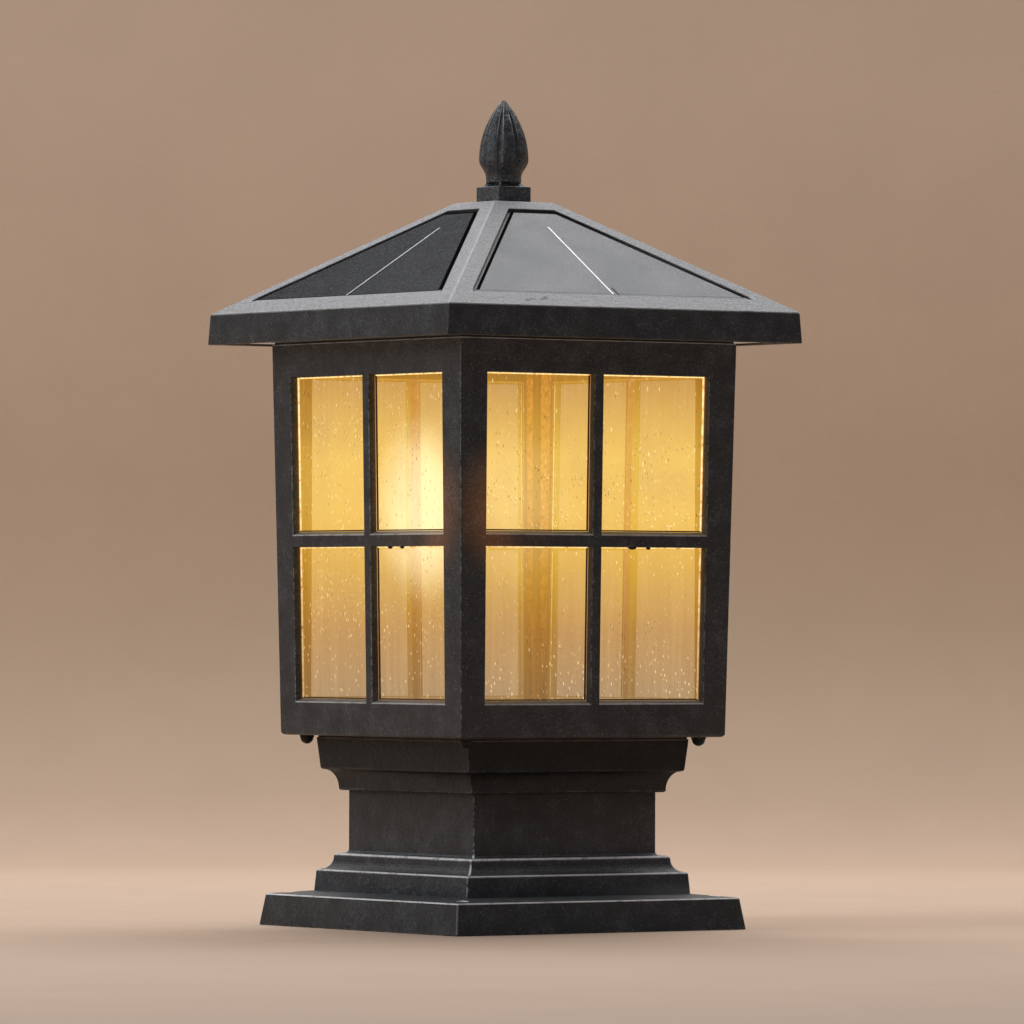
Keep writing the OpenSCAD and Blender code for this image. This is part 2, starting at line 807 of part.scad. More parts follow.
module bud() {
    rings = len(bud_levels);
    points = concat(
        [for (z = bud_levels) for (i = [0:bud_around - 1])
            let (r = bud_profile(z) - groove_at(z) * lobe_share(i), a = 360 * i / bud_around)
            [r * cos(a), r * sin(a), z]],
        [[0, 0, bud_low_z], [0, 0, tip_z]]
    );
    faces = concat(
        [for (k = [0:rings - 2]) for (i = [0:bud_around - 1]) let (j = (i + 1) % bud_around)
            [k * bud_around + i, (k + 1) * bud_around + i, (k + 1) * bud_around + j]],
        [for (k = [0:rings - 2]) for (i = [0:bud_around - 1]) let (j = (i + 1) % bud_around)
            [k * bud_around + i, (k + 1) * bud_around + j, k * bud_around + j]],
        [for (i = [0:bud_around - 1]) [rings * bud_around, i, (i + 1) % bud_around]],
        [for (i = [0:bud_around - 1]) let (top = (rings - 1) * bud_around)
            [rings * bud_around + 1, top + (i + 1) % bud_around, top + i]]
    );
    polyhedron(points, faces, convexity = 4);
}

// Square cove that dies into the round waist
cove_ledge = 1.3;
cove_tuck = 0.4;
cove_low_half = block_w / 2 - cove_ledge;
cove_top_half = waist_r / sqrt(2) - cove_tuck;
finial_outline = concat(
    [[block_w / 2, crown_z], [block_w / 2, block_top_z]],
    arc(cove_low_half, block_top_z + cove_h, cove_low_half - cove_top_half, cove_h, 265, 180, 5)
);

module finial() {
    color("#252527") difference() {
        union() {
            mitred(finial_outline);
            bud();
        }
        rod(finial_bolt_d / 2, crown_z - cut, crown_z + finial_thread);
    }
}

crown_under_z = crown_z - slope_drop;
finial_head_top_z = crown_under_z - washer_t;

module finial_bolt() {
    head_rim = 2.4;
    head_h = 5.2;
    end_gap = 1;
    color("silver") union() {
        hexagon(finial_bolt_d + 2 * head_rim, finial_head_top_z - head_h, finial_head_top_z);
        rod(finial_bolt_d / 2 - thread_gap, finial_head_top_z, crown_z + finial_thread - end_gap);
    }
}

module finial_washer() {
    color("silver")
        pipe(finial_bolt_d, finial_bolt_d / 2 + thread_gap, finial_head_top_z, crown_under_z);
}

// Light board and opal cover under the roof pan

function ring_of(count, r, turn) =
    [for (i = [0:count - 1]) let (a = turn + 360 * i / count) [r * cos(a), r * sin(a)]];
board_edge = 5;
board_screw_places = ring_of(3, board_r - board_edge, 90);
cover_screw_places = ring_of(3, cover_r + cover_flange / 2, 30);
board_z = pan_z - board_t;
chip_w = 5;
chip_t = 0.9;

module light_board() {
    color("#e8e8e6") difference() {
        rod(board_r, board_z, pan_z);
        rod(led_lead_r, board_z - cut, pan_z + cut);
        for (p = board_screw_places) translate([p.x, p.y, 0])
            rod(small_d / 2 + thread_gap, board_z - cut, pan_z + cut);
    }
}

module light_chips() {
    color("#f2d35b") for (i = [0:chip_count - 1]) rotate([0, 0, 360 * i / chip_count])
        translate([chip_ring_r - chip_w / 2, -chip_w / 2, board_z - chip_t]) cube([chip_w, chip_w, chip_t]);
}

module opal_cover() {
    flange_r = cover_r + cover_flange;
    low_z = pan_z - cover_h;
    bowl_r = 8;
    color("#f5ecd8") difference() {
        rotate_extrude() polygon(concat(
            [[0, low_z]],
            arc(cover_r - bowl_r, low_z + bowl_r, bowl_r, bowl_r, -90, 0, 6),
            [[cover_r, pan_z - cover_wall], [flange_r, pan_z - cover_wall], [flange_r, pan_z],
             [cover_r - cover_wall, pan_z]],
            arc(cover_r - bowl_r, low_z + bowl_r, bowl_r - cover_wall, bowl_r - cover_wall, 0, -90, 6),
            [[0, low_z + cover_wall]]
        ));
        for (p = cover_screw_places) translate([p.x, p.y, 0])
            rod(small_d / 2 + thread_gap, pan_z - cover_wall - cut, pan_z + cut);
    }
}

module light_screws() {
    color("silver") {
        for (p = board_screw_places) translate([p.x, p.y, 0])
            small_screw(board_z, -1, board_t + pan_t);
        for (p = cover_screw_places) translate([p.x, p.y, 0])
            small_screw(pan_z - cover_wall, -1, cover_wall + pan_t);
    }
}

// Battery tray and controller on top of the roof pan

tray_floor = 2;
tray_wall = 2;
tray_ear = 8;
tray_hold = 0.75;    // share of a cell's height that the tray holds
cell_gap = 0.4;
cell_rib = 1.2;
contact_room = 4;
bay_w = cell_d + 2 * cell_gap;
bay_length = cell_length + 2 * contact_room;
cell_pitch = bay_w + cell_rib;
tray_length = bay_length + 2 * tray_wall;
tray_w = 2 * cell_pitch + 2 * tray_wall;
tray_h = tray_floor + cell_d * tray_hold;
cell_z = pan_top_z + tray_floor + bay_w / 2;
tray_screw_places = [for (x = [-1, 1]) [x * (tray_length + tray_ear) / 2, tray_place]];

module battery_tray() {
    color("#161616") difference() {
        union() {
            translate([-tray_length / 2, tray_place - tray_w / 2, pan_top_z])
                cube([tray_length, tray_w, tray_h]);
            translate([-tray_length / 2 - tray_ear, tray_place - tray_ear / 2, pan_top_z])
                cube([tray_length + 2 * tray_ear, tray_ear, tray_floor]);
        }
        for (row = [-1, 1]) translate([0, tray_place + row * cell_pitch / 2, cell_z]) {
            rotate([0, 90, 0]) cylinder(d = bay_w, h = bay_length, center = true);
            translate([0, 0, cell_d]) cube([bay_length, bay_w, 2 * cell_d], center = true);
        }
        for (p = tray_screw_places) translate([p.x, p.y, 0])
            rod(small_d / 2 + thread_gap, pan_top_z - cut, pan_top_z + tray_floor + cut);
    }
}

module battery_cells() {
    cap_r = 3;
    cap_h = 1;
    color("#3f7fb5") for (row = [-1, 1])
        translate([-cell_length / 2, tray_place + row * cell_pitch / 2, cell_z - cell_gap + seat_gap])
            rotate([0, 90, 0]) {
                cylinder(d = cell_d, h = cell_length - cap_h);
                translate([0, 0, cell_length - cap_h]) cylinder(r = cap_r, h = cap_h);
            }
}

// Contact plates at the ends of the cells
module battery_contacts() {
    contact_t = 0.6;
    reach = contact_room - seat_gap;
    contact_w = 8;
    color("silver") for (end = [-1, 1]) for (row = [-1, 1])
        translate([end * bay_length / 2, tray_place + row * cell_pitch / 2, cell_z])
            mirror([end < 0 ? 1 : 0, 0, 0]) rotate([90, 0, 0]) linear_extrude(contact_w, center = true)
                polygon([
                    [0, -contact_w / 2], [-contact_t, -contact_w / 2], [-reach, 0],
                    [-contact_t, contact_w / 2], [0, contact_w / 2], [contact_t - reach, 0]
                ]);
}

spacer_r = 3;
spacer_inset = 4;
spacer_places = [for (c = corners)
    [c.x * (control_length / 2 - spacer_inset), c.y * (control_w / 2 - spacer_inset) - control_place]];
control_z = pan_top_z + spacer_h;
control_top_z = control_z + board_t;

module board_spacers() {
    color("#c9b458") for (p = spacer_places) translate([p.x, p.y, 0])
        pipe(spacer_r, small_d / 2 + thread_gap, pan_top_z, control_z);
}

module control_board() {
    color("#1e6b3c") difference() {
        translate([-control_length / 2, -control_place - control_w / 2, control_z])
            cube([control_length, control_w, board_t]);
        for (p = spacer_places) translate([p.x, p.y, 0])
            rod(small_d / 2 + thread_gap, control_z - cut, control_top_z + cut);
    }
}

plug = [10, 6, 8];
plug_edge = 1;
plug_pitch = 15;
plug_y = control_w / 2 - plug_edge - plug.y / 2 - control_place;

module control_parts() {
    coil_r = 7;
    coil_h = 6;
    can_r = 4;
    can_h = 11;
    chip = [12, 8, 1.8];
    color("#2b2b2b") translate([0, -control_place, control_top_z]) {
        translate([-plug_pitch, 0, 0]) pipe(coil_r, coil_r / 2, 0, coil_h);
        translate([plug_pitch - chip.x / 2, -chip.y / 2, 0]) cube(chip);
        cylinder(r = can_r, h = can_h);
    }
    color("#2b2b2b") for (x = [-plug_pitch, 0, plug_pitch])
        translate([x - plug.x / 2, plug_y - plug.y / 2, control_top_z]) cube(plug);
}

module inner_screws() {
    color("silver") {
        for (p = tray_screw_places) translate([p.x, p.y, 0])
            small_screw(pan_top_z + tray_floor, 1, tray_floor + pan_t);
        for (p = spacer_places) translate([p.x, p.y, 0])
            small_screw(control_top_z, 1, board_t + spacer_h + pan_t);
    }
}

// Push switch in the roof pan's overhang, at the back

shoulder_t = 2;
button_flange_t = 2;
neck_below = 3;
switch_nut_t = 2.5;
switch_roof_t = 2;
switch_wall = 1;
button_flange_z = pan_top_z + shoulder_t + sliding_gap;
button_flange_r = switch_r - switch_wall - sliding_gap;
button_low_z = pan_z - neck_below - button_travel - button_show;
spring_low_z = button_flange_z + button_flange_t;
spring_top_z = spring_low_z + spring_packed + button_travel;
switch_top_z = spring_top_z + switch_roof_t;

module switch_body() {
    rim = 1.5;
    body_r = switch_r + rim;
    color("#101010") translate([0, switch_place, 0]) difference() {
        union() {
            rod(switch_r, pan_z - neck_below, pan_top_z + seat_gap);
            rod(body_r, pan_top_z, switch_top_z);
        }
        rod(button_r + sliding_gap, pan_z - neck_below - cut, spring_top_z);
        rod(switch_r - switch_wall, pan_top_z + shoulder_t, spring_top_z);
    }
}

module switch_nut() {
    rim = 2;
    color("silver") translate([0, switch_place, 0]) difference() {
        hexagon(2 * (switch_r + rim), pan_z - switch_nut_t, pan_z);
        rod(switch_r + thread_gap, pan_z - switch_nut_t - cut, pan_z + cut);
    }
}

module button() {
    color("#b02a22") translate([0, switch_place, 0]) union() {
        rod(button_r, button_low_z, button_flange_z + button_flange_t / 2);
        rod(button_flange_r, button_flange_z, spring_low_z);
    }
}

// Lead wires from the panels, the cells, the light board and the switch to the controller's plugs

lead_r = 0.9;        // radius of a lead
lead_spacing = 2.4;  // spacing of the four panel leads on their plug
lead_pair = 3;       // spacing of the other leads on their plugs
lead_in = 12;        // straight run of a panel lead under its slope
battery_lead_rise = 11;
battery_lead_step = 3;
switch_lead_rise = 4.4;
switch_lead_bend = [22, 9];
switch_lead_drop = 4;
light_lead_rise = 18;
light_lead_step = 3.5;
panel_lead_rise = 23;
plug_top_z = control_top_z + plug.z;
lead_end_z = plug_top_z + seat_gap;
tray_lead_z = pan_top_z + tray_h + seat_gap;
light_lead_place = led_lead_r - lead_r - seat_gap;

// A point below the middle of a slope: how far from the centre and how high, by its depth under the slope
function under_slope(depth) = [
    eave_top_half - wire_hole_up * cos(slope_angle) - depth * sin(slope_angle),
    eave_top_z + wire_hole_up * sin(slope_angle) - depth * cos(slope_angle)
];

// Straight leads through the given points
module lead(points) {
    for (i = [0:len(points) - 2]) let (run = points[i + 1] - points[i])
        translate(points[i]) rotate([0, acos(run.z / norm(run)), atan2(run.y, run.x)])
            cylinder(r = lead_r, h = norm(run), $fn = 8);
    for (i = [1:len(points) - 2]) translate(points[i]) sphere(r = lead_r, $fn = 8);
}

// From a point over to a plug and down onto it
function to_plug(x, z) = [[x, plug_y, z], [x, plug_y, lead_end_z]];

module lead_wires() {
    panel_order = [1, 3, 2, 0];    // the places of the front, right, back and left leads on their plug
    start = under_slope(recess_d - pad_t + seat_gap);
    bend = under_slope(recess_d - pad_t + lead_in);
    color("#a32d22") {
        for (side = sides) {
            out = [sin(90 * side), -cos(90 * side)];
            x = -plug_pitch + (panel_order[side] - 1.5) * lead_spacing;
            lead(concat([concat(out * start.x, start.y), concat(out * bend.x, bend.y)],
                to_plug(x, plug_top_z + panel_lead_rise)));
        }
        for (end = [-1, 1]) {
            place = [end * (bay_length / 2 - seat_gap), tray_place - end * cell_pitch / 2];
            high = tray_lead_z + battery_lead_rise + (end + 1) / 2 * battery_lead_step;
            lead(concat([[place.x, place.y, tray_lead_z], [place.x, place.y, high]],
                to_plug(end * lead_pair, high)));
            light_high = plug_top_z + light_lead_rise + (1 - end) / 2 * light_lead_step;
            lead(concat([[end * light_lead_place, 0, board_z], [end * light_lead_place, 0, light_high]],
                to_plug(plug_pitch - end * lead_pair / 2, light_high)));
        }
        high = switch_top_z + switch_lead_rise;
        over = [0, switch_place - switch_lead_bend.x, high + switch_lead_bend.y];
        lead(concat([[0, switch_place, switch_top_z + seat_gap], [0, switch_place, high], over],
            to_plug(0, over.z + switch_lead_drop)));
    }
}

spring_r = 3;
spring_wire_r = 0.4;
spring_turns = 4;
spring_steps = 14;
wire_sides = 6;

module button_spring() {
    count = spring_turns * spring_steps;
    low = spring_low_z + spring_wire_r + seat_gap;
    rise = spring_top_z - spring_low_z - 2 * (spring_wire_r + seat_gap);
    points = [for (k = [0:count]) for (i = [0:wire_sides - 1])
        let (a = 360 * k / spring_steps, b = 360 * i / wire_sides, r = spring_r + spring_wire_r * cos(b))
        [r * cos(a), r * sin(a), low + rise * k / count + spring_wire_r * sin(b)]];
    faces = concat(
        [for (k = [0:count - 1]) for (i = [0:wire_sides - 1]) let (j = (i + 1) % wire_sides)
            [k * wire_sides + i, (k + 1) * wire_sides + i, (k + 1) * wire_sides + j, k * wire_sides + j]],
        [[for (i = [0:wire_sides - 1]) i]],
        [[for (i = [wire_sides - 1:-1:0]) count * wire_sides + i]]
    );
    color("silver") translate([0, switch_place, 0]) polyhedron(points, faces, convexity = 6);
}

pedestal();
neck_gasket();
neck_bolts();
neck_washers();
neck_nuts();
cage_frame();
pane_front();
pane_right();
pane_back();
pane_left();
pane_seals();
glazing_strips_low();
glazing_strips_top();
strip_screws();
tie_rods();
rod_washers();
rod_nuts();
dome_nuts();
eave_gasket();
roof_pan();
grommet();
roof_shell();
roof_screws();
panel_front();
panel_right();
panel_back();
panel_left();
panel_pads();
panel_ribbons();
finial();
finial_bolt();
finial_washer();
light_board();
light_chips();
opal_cover();
light_screws();
battery_tray();
battery_cells();
battery_contacts();
board_spacers();
control_board();
control_parts();
lead_wires();
inner_screws();
switch_body();
switch_nut();
button();
button_spring();
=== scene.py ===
import math

import bmesh
import bpy
from mathutils import Matrix, Vector


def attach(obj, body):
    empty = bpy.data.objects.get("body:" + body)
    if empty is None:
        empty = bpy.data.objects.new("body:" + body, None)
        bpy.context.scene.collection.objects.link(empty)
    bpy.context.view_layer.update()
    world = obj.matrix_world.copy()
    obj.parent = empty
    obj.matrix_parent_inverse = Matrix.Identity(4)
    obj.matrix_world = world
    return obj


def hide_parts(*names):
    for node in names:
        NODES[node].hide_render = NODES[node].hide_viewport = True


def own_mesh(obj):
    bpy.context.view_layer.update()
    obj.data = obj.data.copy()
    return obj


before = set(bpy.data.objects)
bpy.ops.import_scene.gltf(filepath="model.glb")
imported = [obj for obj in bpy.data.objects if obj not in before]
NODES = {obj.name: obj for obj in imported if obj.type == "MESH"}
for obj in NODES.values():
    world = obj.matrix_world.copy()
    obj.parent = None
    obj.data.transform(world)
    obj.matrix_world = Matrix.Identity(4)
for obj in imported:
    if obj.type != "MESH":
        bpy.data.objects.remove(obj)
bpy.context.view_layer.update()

MM = 0.001

# Sizes that the source also has, in millimetres
CAGE_Z = 136.5
CAGE_TOP_Z = 416.1
CAGE_HALF = 114.1
CAGE_TOP_HALF = 119.3
WALL = 6.0
SEAL = 1.0
WINDOW_LOW_Z = 160.5
WINDOW_TOP_Z = 392.1
WINDOW_LOW_HALF = 94.0
WINDOW_TOP_HALF = 95.6
MULLION_HALF = 4.0
TRANSOM_Z = 270.75
TRANSOM_TOP_Z = 279.45
LEDGE = 2.4
CROWN_Z = 517.1

# Heights just above the foot of the roof's recesses and of its panels, in millimetres
RECESS_FOOT_Z = 448.2
PANEL_FOOT_Z = (448.5, 447.5)

OBJECT_BODY = "lantern"


def cage_face(z):
    return CAGE_HALF + (CAGE_TOP_HALF - CAGE_HALF) * (z - CAGE_Z) / (CAGE_TOP_Z - CAGE_Z)


def window_half(z):
    share = (z - WINDOW_LOW_Z) / (WINDOW_TOP_Z - WINDOW_LOW_Z)
    return WINDOW_LOW_HALF + (WINDOW_TOP_HALF - WINDOW_LOW_HALF) * share


# Camera: almost level with the lantern, and turned towards its left from the square view of its front

AZIMUTH = math.radians(34.88)
DISTANCE = 5.803
CAMERA_Z = 0.225
PITCH = math.radians(0.704)
ROLL = math.radians(0.18)
FOCAL_PIXELS = 8124
IMAGE_PIXELS = 1024
AXIS_PIXEL = 502.6
SENSOR = 36


def make_camera():
    data = bpy.data.cameras.new("camera")
    data.sensor_width = SENSOR
    data.lens = FOCAL_PIXELS / IMAGE_PIXELS * SENSOR
    data.shift_x = (IMAGE_PIXELS / 2 - AXIS_PIXEL) / IMAGE_PIXELS
    data.clip_end = 100
    camera = bpy.data.objects.new("camera", data)
    bpy.context.scene.collection.objects.link(camera)
    level = Vector((math.sin(AZIMUTH), math.cos(AZIMUTH), 0))
    right = Vector((math.cos(AZIMUTH), -math.sin(AZIMUTH), 0))
    ahead = level * math.cos(PITCH) + Vector((0, 0, math.sin(PITCH)))
    up = right.cross(ahead)
    side = right * math.cos(ROLL) + up * math.sin(ROLL)
    top = up * math.cos(ROLL) - right * math.sin(ROLL)
    turn = Matrix((side, top, -ahead)).transposed()
    place = Vector((-level.x * DISTANCE, -level.y * DISTANCE, CAMERA_Z))
    camera.matrix_world = Matrix.Translation(place) @ turn.to_4x4()
    bpy.context.scene.camera = camera


# Node graphs, written short

class Graph:
    """A material and short ways to add nodes to it."""

    def __init__(self, name):
        self.material = bpy.data.materials.new(name)
        self.material.use_nodes = True
        self.tree = self.material.node_tree
        self.tree.nodes.clear()
        self.output = self.tree.nodes.new("ShaderNodeOutputMaterial")
        self.coords = self.tree.nodes.new("ShaderNodeTexCoord").outputs["Object"]

    def put(self, socket, value):
        if isinstance(value, bpy.types.NodeSocket):
            self.tree.links.new(value, socket)
        else:
            socket.default_value = value

    def node(self, kind, settings=None, **inputs):
        made = self.tree.nodes.new("ShaderNode" + kind)
        for key, value in (settings or {}).items():
            setattr(made, key, value)
        for key, value in inputs.items():
            self.put(made.inputs[key.replace("_", " ")], value)
        return made

    def math(self, kind, a, b=0.0, c=0.0, clamp=False):
        made = self.node("Math", {"operation": kind, "use_clamp": clamp})
        for socket, value in zip(made.inputs, (a, b, c)):
            self.put(socket, value)
        return made.outputs[0]

    def times(self, a, b):
        return self.math("MULTIPLY", a, b)

    def plus(self, a, b):
        return self.math("ADD", a, b)

    def mix(self, share, a, b, blend="MIX"):
        made = self.tree.nodes.new("ShaderNodeMix")
        made.data_type = "RGBA"
        made.blend_type = blend
        made.clamp_factor = True
        self.put(made.inputs[0], share)
        self.put(made.inputs[6], a)
        self.put(made.inputs[7], b)
        return made.outputs[2]

    def stretch(self, scale, place=(0, 0, 0)):
        made = self.node("Mapping", Vector=self.coords, Scale=scale, Location=place)
        return made.outputs[0]

    def vector(self, kind, a, b=None, output="Vector"):
        made = self.node("VectorMath", {"operation": kind})
        self.put(made.inputs[0], a)
        if b is not None:
            self.put(made.inputs[1], b)
        return made.outputs[output]

    def noise(self, scale, detail=2.0, rough=0.5, coords=None, warp=0.0):
        made = self.node("TexNoise", Vector=coords or self.coords, Scale=scale, Detail=detail,
                         Roughness=rough, Distortion=warp)
        return made.outputs[0]

    def cells(self, scale, coords=None, feature="F1", output="Distance"):
        made = self.node("TexVoronoi", {"feature": feature}, Vector=coords or self.coords,
                         Scale=scale, Randomness=1.0)
        return made.outputs[output]

    def steps(self, value, low, high, to_low=0.0, to_high=1.0, smooth=True):
        kind = "SMOOTHSTEP" if smooth else "LINEAR"
        made = self.node("MapRange", {"interpolation_type": kind}, Value=value)
        for key, number in (("From Min", low), ("From Max", high), ("To Min", to_low), ("To Max", to_high)):
            self.put(made.inputs[key], number)
        return made.outputs[0]

    def ramp(self, value, stops):
        made = self.node("ValToRGB", Fac=value)
        ramp = made.color_ramp
        while len(ramp.elements) < len(stops):
            ramp.elements.new(0.5)
        for element, (place, colour) in zip(ramp.elements, stops):
            element.position = place
            element.color = (*colour, 1)
        return made.outputs[0]

    def bump(self, height, distance):
        return self.node("Bump", Height=height, Distance=distance, Strength=1.0).outputs[0]

    def mark(self, name):
        return self.node("Attribute", {"attribute_name": name}).outputs["Fac"]

    def axes(self, coords=None):
        return self.node("SeparateXYZ", Vector=coords or self.coords).outputs

    def slope(self):
        """The surface's own direction: 1 looks up, 0 is upright, -1 looks down."""
        return self.axes(self.tree.nodes.new("ShaderNodeNewGeometry").outputs["True Normal"])[2]

    def rest(self, share):
        return self.math("SUBTRACT", 1.0, share)

    def size(self, value):
        return self.math("ABSOLUTE", value)

    def mix_shaders(self, share, one, two):
        made = self.tree.nodes.new("ShaderNodeMixShader")
        made.inputs[0].default_value = share
        self.put(made.inputs[1], one.outputs[0])
        self.put(made.inputs[2], two.outputs[0])
        return made.outputs[0]

    def finish(self, shader):
        self.tree.links.new(shader, self.output.inputs["Surface"])
        return self.material


def grey(value):
    return (value, value, value, 1)


def mark_along(g, start, end, width):
    """1 on the line between two points of the lantern, in millimetres, and 0 beyond its width."""
    a, b = Vector(start) * MM, Vector(end) * MM
    run = b - a
    away = g.vector("SUBTRACT", g.coords, tuple(a))
    dot = g.vector("DOT_PRODUCT", away, tuple(run), "Value")
    share = g.math("DIVIDE", dot, run.length_squared, clamp=True)
    along = g.node("VectorMath", {"operation": "SCALE"}, Scale=share)
    g.put(along.inputs[0], tuple(run))
    gap = g.vector("LENGTH", g.vector("SUBTRACT", away, along.outputs[0]), None, "Value")
    return g.steps(gap, width * MM, width * 0.6 * MM)


def recess_rim(g):
    """1 round the roof's recesses, where their arrises take a painted shade, and 0 at their foot and at the
    roof's hips, eave and crown.
    """
    x, y, z = g.axes()
    from_hip = g.size(g.math("SUBTRACT", g.size(x), g.size(y)))
    above_foot = g.steps(z, RECESS_FOOT_Z * MM, (RECESS_FOOT_Z + 1) * MM)
    under_crown = g.steps(z, (CROWN_Z - 1) * MM, (CROWN_Z - 2) * MM)
    return g.times(g.steps(from_hip, 2 * MM, 4 * MM), g.times(above_foot, under_crown))


PALE_SPECK = (0.24, 0.235, 0.23, 1)
# Pale grey for dusty upward faces, with a painted sheen.
DUST_AND_SHEEN = (0.52, 0.515, 0.52, 1)
CHIP = (0.02, 0.02, 0.02, 1)
GAP_SHADE = grey(0.006)


def coat(name, tone=0.022, grain=1.0, wear=1.0, hammered=0.0, dust_and_sheen=0.0, glow=None, painted_shade_heights=None, marks=(),
         gloss=(0.40, 0.62), wear_and_highlight_tone=0.5, painted_shade_rim=None):
    """Sandy black coat on cast metal: grain, pale specks, wear on the arrises where the mesh marks them with
    a painted highlight on the upper ones, and dusty upward faces with a painted sheen.

    The shade heights are the two heights, in metres, between which the coat is painted darker and less
    shiny: a painted shade under the cage's overhang. The shade rim gives where the arrises are painted dark,
    as the shade inside the roof's recesses, instead of showing wear."""
    g = Graph(name)
    fine = g.noise(620, 3, 0.7)
    broad = g.noise(60, 3, 0.55)
    cloud = g.noise(14, 2, 0.5)
    shade = g.plus(g.times(fine, 0.65), g.times(broad, 0.35))
    base = g.ramp(shade, [(0.34, (tone * 0.15, tone * 0.17, tone * 0.2)),
                          (0.5, (tone * 0.72, tone * 0.86, tone * 1.0)),
                          (0.64, (tone * 2.9, tone * 3.2, tone * 3.5))])
    base = g.mix(g.steps(cloud, 0.45, 0.7, 0, 0.25), base, grey(tone * 1.6))
    speck = g.steps(g.cells(430), 0.24, 0.12)
    chosen = g.steps(g.noise(170, 1, 0.5), 0.53, 0.6)
    base = g.mix(g.times(g.times(speck, chosen), 0.6), base, PALE_SPECK)
    slope = g.slope()
    # Arrises that face up are painted pale: partly wear, partly a painted highlight of the light from above.
    # Upright ones get a little ragged wear.
    upper = g.times(g.steps(slope, 0.12, 0.4), g.steps(g.noise(120, 3, 0.6), 0.3, 0.5, 0.5, 1.0))
    ragged = g.steps(g.plus(g.noise(330, 3, 0.65), g.times(g.noise(30, 2, 0.5), 0.6)), 0.74, 0.88)
    level = g.times(g.steps(slope, -0.35, -0.1, 0, 0.24), ragged)
    wear_and_highlight = g.times(g.mark("arris"), g.math("MAXIMUM", upper, level))
    # Upward faces are painted paler: partly dust, partly a painted sheen of the light from above.
    if dust_and_sheen:
        grains = g.steps(fine, 0.36, 0.62, 0.45, 1.0)
        base = g.mix(g.times(g.times(g.steps(slope, 0.3, 0.6), grains), dust_and_sheen), base, DUST_AND_SHEEN)
    # Painted shade: the coat is painted darker between these heights, where the cage above shades the
    # pedestal.
    if painted_shade_heights:
        painted_shade = g.steps(g.axes()[2], *painted_shade_heights, 0, 0.8)
        base = g.mix(painted_shade, base, grey(0.003))
        wear_and_highlight = g.times(wear_and_highlight, g.rest(painted_shade))
    # Painted shade: the arrises round the roof's recesses are painted near black, as shade.
    if painted_shade_rim:
        rim = painted_shade_rim(g)
        base = g.mix(g.times(g.mark("arris"), rim), base, GAP_SHADE)
        wear_and_highlight = g.times(wear_and_highlight, g.rest(rim))
    # The marked arrises take the pale tone: wear, with a painted highlight.
    base = g.mix(g.times(wear_and_highlight, wear), base, grey(wear_and_highlight_tone))
    for start, end, width in marks:
        base = g.mix(g.times(mark_along(g, start, end, width), 0.9), base, CHIP)
    rough = g.steps(fine, 0.3, 0.7, *gloss)
    height = g.plus(fine, g.times(g.noise(210, 2, 0.5), 1.6))
    if hammered:
        height = g.plus(height, g.times(g.cells(150, feature="SMOOTH_F1"), hammered))
    normal = g.bump(height, 0.0005 * grain)
    shader = g.node("BsdfPrincipled", Base_Color=base, Roughness=rough, Normal=normal)
    # Less reflection in the same painted shade.
    if painted_shade_heights:
        g.put(shader.inputs["Specular IOR Level"], g.steps(g.axes()[2], *painted_shade_heights, 0.5, 0.24))
    if glow:
        glow(g, shader, fine)
    return g.finish(shader.outputs[0])


# In metres: the hot spot behind the glass by the near corner, the heights over which the lamp fades, and
# the eave's near corner
HOT = (-0.072, -0.062, 0.298)
LAMP_FADE_Z = (0.15, 0.33)
EAVE_CORNER = (-0.14, -0.14, 0.418)
LAMP_ORANGE = (1.0, 0.33, 0.06, 1)
HOT_WHITE = (1.0, 0.86, 0.50, 1)


def distance_to(g, place):
    return g.vector("DISTANCE", g.coords, place, "Value")


def lamp_fall(g, z):
    """How bright the lamp makes a height, 1 at the lamp."""
    return g.steps(z, *LAMP_FADE_Z, 0.22, 1.0)


def cage_glow(g, shader, fine):
    """Painted lamp light on the cage's inside and in its reveals by the glass, and a painted warm glow on
    the near post.
    """
    x, y, z = g.axes()
    reach = g.math("MAXIMUM", g.size(x), g.size(y))
    lean = (CAGE_TOP_HALF - CAGE_HALF) / (CAGE_TOP_Z - CAGE_Z)
    face = g.plus(g.times(z, lean), (CAGE_HALF - lean * CAGE_Z) * MM)
    depth = g.math("SUBTRACT", face, reach)
    shelf = g.steps(g.slope(), 0.25, 0.5, 1, 0)
    reveal = g.times(g.steps(depth, 0.0022, 0.0062, 0, 0.05), shelf)
    facing = g.times(g.steps(y, 0.095, 0.100), g.steps(x, 0.086, 0.090))
    inner = g.times(g.steps(depth, 0.0057, 0.0060, 0, 0.4), g.plus(1.0, g.times(facing, 0.3)))
    patchy = g.steps(g.noise(260, 3, 0.6), 0.35, 0.65, 0.5, 1.2)
    inside = g.times(g.times(g.plus(reveal, inner), lamp_fall(g, z)), patchy)
    across = g.math("MINIMUM", g.size(x), g.size(y))
    post = g.steps(across, 0.060, 0.096, 0.15, 1.0)
    post_glow = g.times(g.steps(distance_to(g, HOT), 0.080, 0.042, 0, 0.13), post)
    grainy = g.steps(fine, 0.35, 0.65, 0.85, 1.15)
    g.put(shader.inputs["Emission Color"], LAMP_ORANGE)
    g.put(shader.inputs["Emission Strength"], g.plus(inside, g.times(post_glow, grainy)))


